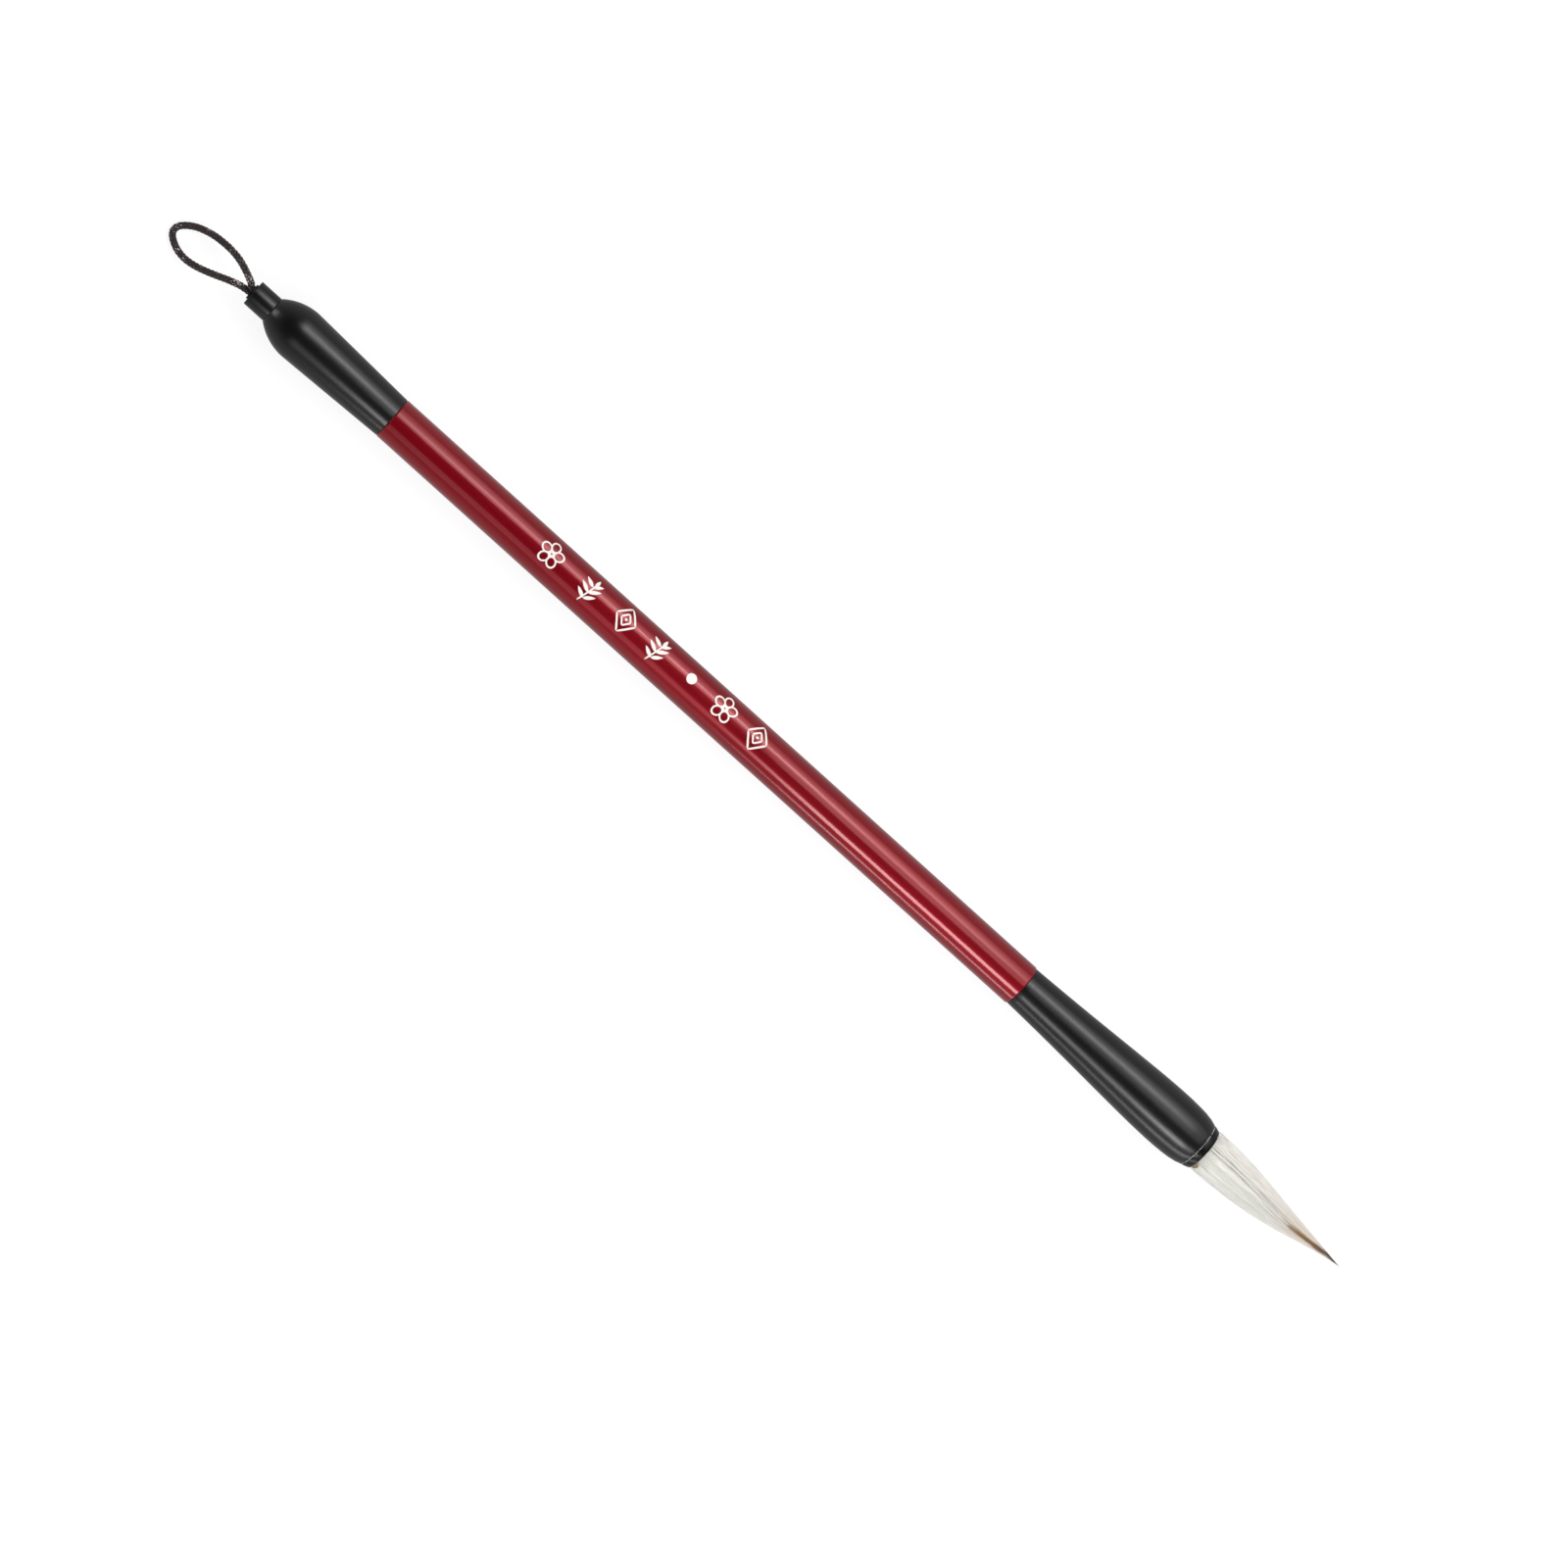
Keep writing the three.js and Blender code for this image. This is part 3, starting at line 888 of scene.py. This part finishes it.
makeHairBody()
makeHairs()
print("hair ready")


glue = {
    "angle": -52.0, "length": 1.5, "width": 2.0, "height": 0.5, "ahead": 0.1, "sunk": 0.12,
    "bead": 0.08, "beadStation": 218.25, "beadRadius": 4.4, "beadLumps": 0.13, "beadSunk": 0.035,
}


# A drop of glue that has crept out between the mouth ring and the hair
def makeGlue():
    bm = bmesh.new()
    bmesh.ops.create_icosphere(bm, subdivisions=4, radius=1)
    for vert in bm.verts:
        lump = 1 + 0.25 * noise.noise(vert.co * 1.7)
        x, across, up = vert.co * lump
        angle = math.radians(glue["angle"]) + across * glue["width"] / 2 / ring["bore"]
        reach = ring["bore"] - glue["sunk"] + up * glue["height"] / 2
        station = ring["end"] + glue["ahead"] + x * glue["length"] / 2
        vert.co = place(station, reach * math.sin(angle), reach * math.cos(angle))
    bmesh.ops.recalc_face_normals(bm, faces=bm.faces)
    piece = addPiece("glue_drop", bm, mouthGlue, 180)
    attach(piece, "handle")


# A line of clear glue in the groove behind the mouth ring, with breaks in it; its pale dashes are painted
# glints
def makeGrooveGlueWithGlint():
    bm = bmesh.new()
    bmesh.ops.create_circle(bm, cap_ends=False, segments=8, radius=glue["bead"] * mm)
    bmesh.ops.rotate(bm, verts=bm.verts, cent=(0, 0, 0), matrix=Matrix.Rotation(math.pi / 2, 3, "X"))
    bmesh.ops.translate(bm, verts=bm.verts, vec=place(glue["beadStation"], 0, glue["beadRadius"]))
    bmesh.ops.spin(bm, geom=bm.verts[:] + bm.edges[:], cent=place(0), axis=(1, 0, 0),
                   angle=2 * math.pi, steps=220, use_merge=True)
    bmesh.ops.recalc_face_normals(bm, faces=bm.faces)
    for vert in bm.verts:
        outward = Vector((0, vert.co.y, vert.co.z - axisHeight))
        lump = noise.noise(outward.normalized() * 6) + 0.5 * noise.noise(outward.normalized() * 23)
        vert.co += outward.normalized() * (glue["beadLumps"] * lump - glue["beadSunk"]) * mm
    piece = addPiece("groove_glue_painted_glint", bm, grooveGlintGlue, 180)
    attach(piece, "handle")


makeGlue()
makeGrooveGlueWithGlint()
print("glue ready")

# The pieces inside the brush keep the frame's own shape
for node, material in (("cord_knot", cordYarn), ("root_resin", mouthGlue), ("root_thread", linenThread),
                       ("hair_root", whiteHair)):
    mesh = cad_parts[node].data
    mesh.materials.clear()
    mesh.materials.append(material)


# Soft boxes in lines over the brush. Angles are from straight up, those towards +Y above zero, and
# stations say how far each box reaches along the brush. Distances and lamp sizes are in metres
softBoxes = {
    "distance": 1.2,
    "overhead": {
        "key_inner": {"angles": (30, 37.5), "stations": (-160, 620), "radiance": 4.4},
        "key_line_cap": {"angles": (37.5, 41.5), "stations": (-160, 110), "radiance": 5.0},
        "key_line": {"angles": (37.5, 41.5), "stations": (110, 395), "radiance": 9.0},
        "key_line_end": {"angles": (37.5, 41.5), "stations": (395, 620), "radiance": 3.4},
        "key_middle": {"angles": (41.5, 48), "stations": (-160, 620), "radiance": 2.8},
        "key_end": {"angles": (30, 48), "stations": (620, 1500), "radiance": 1.1},
        "key_outer": {"angles": (48, 58), "stations": (-160, 620), "radiance": 1.7},
        "key_outer_end": {"angles": (48, 58), "stations": (620, 1500), "radiance": 0.8},
        "key_far": {"angles": (58, 70), "stations": (-160, 1500), "radiance": 0.8},
        "key_near_cap": {"angles": (21, 30), "stations": (-160, 275), "radiance": 2.3},
        "key_near_tip": {"angles": (6, 30), "stations": (300, 620), "radiance": 1.7},
        "key_near_tip_end": {"angles": (6, 30), "stations": (620, 1500), "radiance": 0.9},
        "fill": {"angles": (-58, -30), "stations": (-160, 260), "radiance": 0.6},
        "high_strip_start": {"angles": (-52, -37), "stations": (256, 306), "radiance": 1.5},
        "high_strip_middle": {"angles": (-52, -37), "stations": (306, 350), "radiance": 4.6},
        "high_strip": {"angles": (-52, -37), "stations": (350, 760), "radiance": 9.8},
        "high_strip_end": {"angles": (-52, -37), "stations": (760, 1500), "radiance": 3.6},
        "low_strip_start": {"angles": (-89, -80), "stations": (256, 330), "radiance": 1.5},
        "low_strip": {"angles": (-89, -80), "stations": (330, 1500), "radiance": 5.0},
    },
    # Beyond the cord end, low over the table
    "capLamp": {"angle": 71, "length": 0.22, "width": 0.5, "radiance": 4.5},
    # Close over the table, for its even white
    "ceilingWash": {"station": 300, "size": 0.4, "distance": 0.42, "radiance": 2.2},
}


# A soft box that faces the brush from the side that outward points to
def addAreaLight(name, station, outward, length, width, radiance, distance):
    light = bpy.data.lights.new(name, "AREA")
    light.shape = "RECTANGLE"
    light.size, light.size_y = length, width
    light.energy = radiance * math.pi * length * width
    lamp = bpy.data.objects.new(name, light)
    sideways = outward.cross(Vector((1, 0, 0))).normalized()
    lengthwise = sideways.cross(outward)
    lamp.matrix_world = Matrix((lengthwise, sideways, outward)).transposed().to_4x4()
    lamp.location = place(station) + outward * distance
    scene.collection.objects.link(lamp)
    return lamp


def makeSoftBoxes():
    distance = softBoxes["distance"]
    for name, box in softBoxes["overhead"].items():
        low, high = box["angles"]
        start, end = box["stations"]
        width = 2 * distance * math.tan(math.radians(high - low) / 2)
        turn = math.radians(low + high) / 2
        outward = Vector((0, math.sin(turn), math.cos(turn)))
        middle, length = (start + end) / 2, (end - start) * mm
        addAreaLight(name, middle, outward, length, width, box["radiance"], distance)
    lamp = softBoxes["capLamp"]
    turn = math.radians(lamp["angle"])
    outward = Vector((-math.sin(turn), 0, math.cos(turn)))
    addAreaLight("cap_lamp", 0, outward, lamp["length"], lamp["width"], lamp["radiance"], distance)
    wash = softBoxes["ceilingWash"]
    ceiling = addAreaLight("ceiling_wash", wash["station"], Vector((0, 0, 1)), wash["size"], wash["size"],
                           wash["radiance"], wash["distance"])
    ceiling.visible_glossy = False


# Dark overhead and paler towards the horizon, as in a studio with a white sweep
def makeWorld():
    world = bpy.data.worlds.new("studio")
    world.use_nodes = True
    world.node_tree.nodes.clear()
    direction = addNode(world, "ShaderNodeTexCoord").outputs["Generated"]
    height = addNode(world, "ShaderNodeSeparateXYZ", {"Vector": direction}).outputs["Z"]
    tone = ramp(world, height, [(0.0, "b4b4b4"), (0.3, "989898"), (0.75, "303030")])
    background = addNode(world, "ShaderNodeBackground", {"Color": tone, "Strength": 1.0})
    addNode(world, "ShaderNodeOutputWorld", {"Surface": background.outputs[0]})
    scene.world = world


# A back-lit opal acrylic table: its own light leaves only a faint shadow round what lies on it
def makeTable():
    bm = bmesh.new()
    bmesh.ops.create_grid(bm, x_segments=1, y_segments=1, size=2.5)
    bmesh.ops.translate(bm, verts=bm.verts, vec=(0, 0, -0.03 * mm))
    mesh = bpy.data.meshes.new("table_top")
    bm.to_mesh(mesh)
    bm.free()
    opal = newMaterial("opal_acrylic")
    tone = ramp(opal, grainNoise(opal, 40), [(0.3, "7c7c7c"), (0.7, "828282")])
    finishMaterial(opal, {
        "Base Color": tone, "Roughness": 0.8, "Specular IOR Level": 0.0,
        "Emission Color": (1, 1, 1, 1), "Emission Strength": 0.84,
    })
    mesh.materials.append(opal)
    table = bpy.data.objects.new("table_top", mesh)
    table.visible_glossy = False    # the brush's sides mirror the grey room instead of the lit table
    scene.collection.objects.link(table)


makeWorld()
makeSoftBoxes()
makeTable()
print("studio ready")
